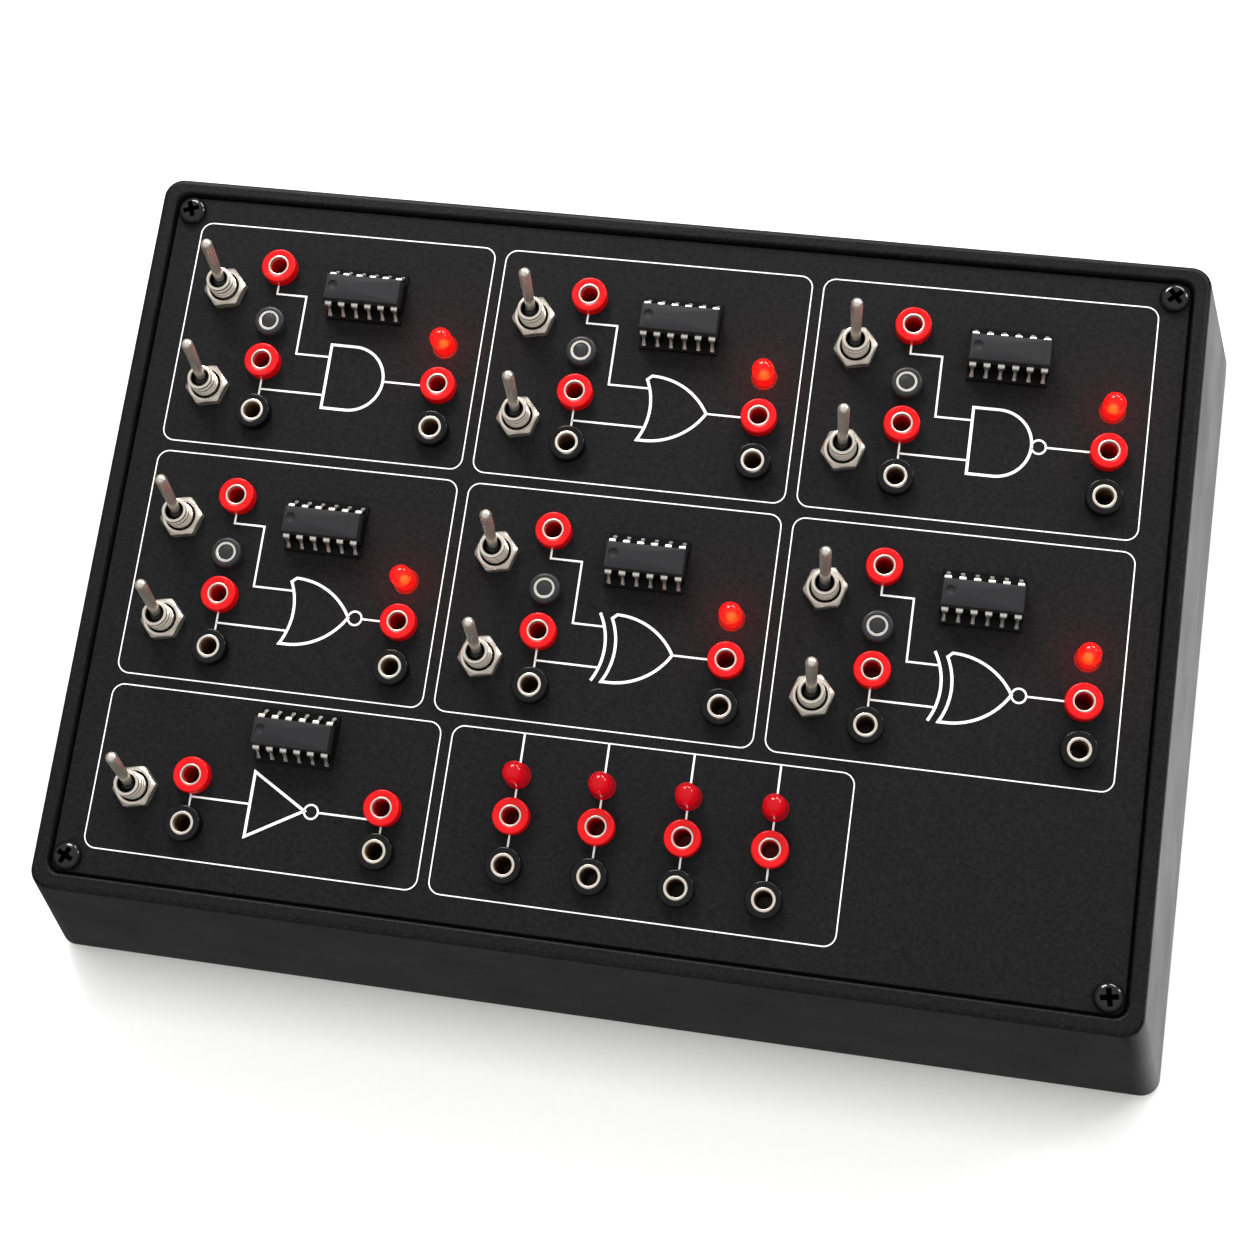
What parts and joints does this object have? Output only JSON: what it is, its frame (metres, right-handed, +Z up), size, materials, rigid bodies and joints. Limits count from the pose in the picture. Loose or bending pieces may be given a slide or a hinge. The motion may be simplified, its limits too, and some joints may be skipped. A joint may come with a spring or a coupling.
{
  "type": "digital logic trainer",
  "caption": "Black bench trainer with a sloping printed panel of logic-gate circuits, red and black 4 mm sockets, toggle switches, indicator lamps and socketed chips.",
  "frame": {"origin": "middle of the footprint on the table, level with the undersides of the rubber feet", "axes": "+X to the operator's right, +Y to the rear, +Z up; the panel slopes down towards the operator"},
  "size_m": [0.2656, 0.1828, 0.0798],
  "materials": {
    "case_plastic": "fine textured satin",
    "panel_print": "matt, with a printed legend",
    "rubber": "matt",
    "black_oxide_steel": "black oxide, satin",
    "zinc_steel": "zinc plated, satin",
    "board_laminate": "solder resist over glass laminate",
    "lead_insulation": "smooth",
    "red_plastic": "gloss",
    "black_plastic": "gloss",
    "nickel": "polished nickel plate",
    "switch_plastic": "satin",
    "lit_red_lens": "clear, lit from inside",
    "dark_red_lens": "clear",
    "lamp_grey": "satin",
    "smoked_lens": "gloss",
    "chip_resin": "matt moulded",
    "carrier_plastic": "satin",
    "tinned_metal": "tin plated"
  },
  "bodies": {
    "trainer": {"housing": "case_plastic", "base_plate": "case_plastic", "rubber_feet": "rubber", "front_panel": "panel_print", "panel_screws": "black_oxide_steel", "base_screws": "black_oxide_steel", "supply_board": "board_laminate", "board_screws": "zinc_steel", "supply_lead": "lead_insulation", "power_inlet": "black_plastic", "inlet_nut": "nickel", "red_sockets_and": "red_plastic", "red_sockets_or": "red_plastic", "red_sockets_nand": "red_plastic", "red_sockets_nor": "red_plastic", "red_sockets_xor": "red_plastic", "red_sockets_xnor": "red_plastic", "red_sockets_not": "red_plastic", "red_sockets_monitor": "red_plastic", "black_sockets_and": "black_plastic", "black_sockets_or": "black_plastic", "black_sockets_nand": "black_plastic", "black_sockets_nor": "black_plastic", "black_sockets_xor": "black_plastic", "black_sockets_xnor": "black_plastic", "black_sockets_not": "black_plastic", "black_sockets_monitor": "black_plastic", "socket_sleeves": "nickel", "switch_bushings": "nickel", "switch_nuts": "nickel", "switch_cases": "switch_plastic", "output_lights": "lit_red_lens", "monitor_lights": "dark_red_lens", "lamp_bodies": "lamp_grey", "lamp_rings": "nickel", "lamp_lenses": "smoked_lens", "chip_and": "chip_resin", "chip_or": "chip_resin", "chip_nand": "chip_resin", "chip_nor": "chip_resin", "chip_xor": "chip_resin", "chip_xnor": "chip_resin", "chip_not": "chip_resin", "chip_carriers": "carrier_plastic", "chip_pins": "tinned_metal"},
    "lever_and_a": {"lever_and_a": "nickel"},
    "lever_and_b": {"lever_and_b": "nickel"},
    "lever_or_a": {"lever_or_a": "nickel"},
    "lever_or_b": {"lever_or_b": "nickel"},
    "lever_nand_a": {"lever_nand_a": "nickel"},
    "lever_nand_b": {"lever_nand_b": "nickel"},
    "lever_nor_a": {"lever_nor_a": "nickel"},
    "lever_nor_b": {"lever_nor_b": "nickel"},
    "lever_xor_a": {"lever_xor_a": "nickel"},
    "lever_xor_b": {"lever_xor_b": "nickel"},
    "lever_xnor_a": {"lever_xnor_a": "nickel"},
    "lever_xnor_b": {"lever_xnor_b": "nickel"},
    "lever_not_a": {"lever_not_a": "nickel"}
  },
  "joints": [
    {"name": "toggle_and_a", "type": "hinge", "parent": "trainer", "child": "lever_and_a", "pos_m": [-0.10115, 0.05753, 0.06482], "axis": [1, 0, 0], "range_deg": [0, 32]},
    {"name": "toggle_and_b", "type": "hinge", "parent": "trainer", "child": "lever_and_b", "pos_m": [-0.10115, 0.03377, 0.06349], "axis": [1, 0, 0], "range_deg": [0, 32]},
    {"name": "toggle_or_a", "type": "hinge", "parent": "trainer", "child": "lever_or_a", "pos_m": [-0.02805, 0.05753, 0.06482], "axis": [1, 0, 0], "range_deg": [0, 32]},
    {"name": "toggle_or_b", "type": "hinge", "parent": "trainer", "child": "lever_or_b", "pos_m": [-0.02805, 0.03377, 0.06349], "axis": [1, 0, 0], "range_deg": [0, 32]},
    {"name": "toggle_nand_a", "type": "hinge", "parent": "trainer", "child": "lever_nand_a", "pos_m": [0.04505, 0.05753, 0.06482], "axis": [1, 0, 0], "range_deg": [0, 32]},
    {"name": "toggle_nand_b", "type": "hinge", "parent": "trainer", "child": "lever_nand_b", "pos_m": [0.04505, 0.03377, 0.06349], "axis": [1, 0, 0], "range_deg": [0, 32]},
    {"name": "toggle_nor_a", "type": "hinge", "parent": "trainer", "child": "lever_nor_a", "pos_m": [-0.10115, 0.00232, 0.06173], "axis": [1, 0, 0], "range_deg": [0, 32]},
    {"name": "toggle_nor_b", "type": "hinge", "parent": "trainer", "child": "lever_nor_b", "pos_m": [-0.10115, -0.02145, 0.06041], "axis": [1, 0, 0], "range_deg": [0, 32]},
    {"name": "toggle_xor_a", "type": "hinge", "parent": "trainer", "child": "lever_xor_a", "pos_m": [-0.02805, 0.00232, 0.06173], "axis": [1, 0, 0], "range_deg": [0, 32]},
    {"name": "toggle_xor_b", "type": "hinge", "parent": "trainer", "child": "lever_xor_b", "pos_m": [-0.02805, -0.02145, 0.06041], "axis": [1, 0, 0], "range_deg": [0, 32]},
    {"name": "toggle_xnor_a", "type": "hinge", "parent": "trainer", "child": "lever_xnor_a", "pos_m": [0.04505, 0.00232, 0.06173], "axis": [1, 0, 0], "range_deg": [0, 32]},
    {"name": "toggle_xnor_b", "type": "hinge", "parent": "trainer", "child": "lever_xnor_b", "pos_m": [0.04505, -0.02145, 0.06041], "axis": [1, 0, 0], "range_deg": [0, 32]},
    {"name": "toggle_not_a", "type": "hinge", "parent": "trainer", "child": "lever_not_a", "pos_m": [-0.1002, -0.05949, 0.05828], "axis": [1, 0, 0], "range_deg": [0, 32]}
  ]
}
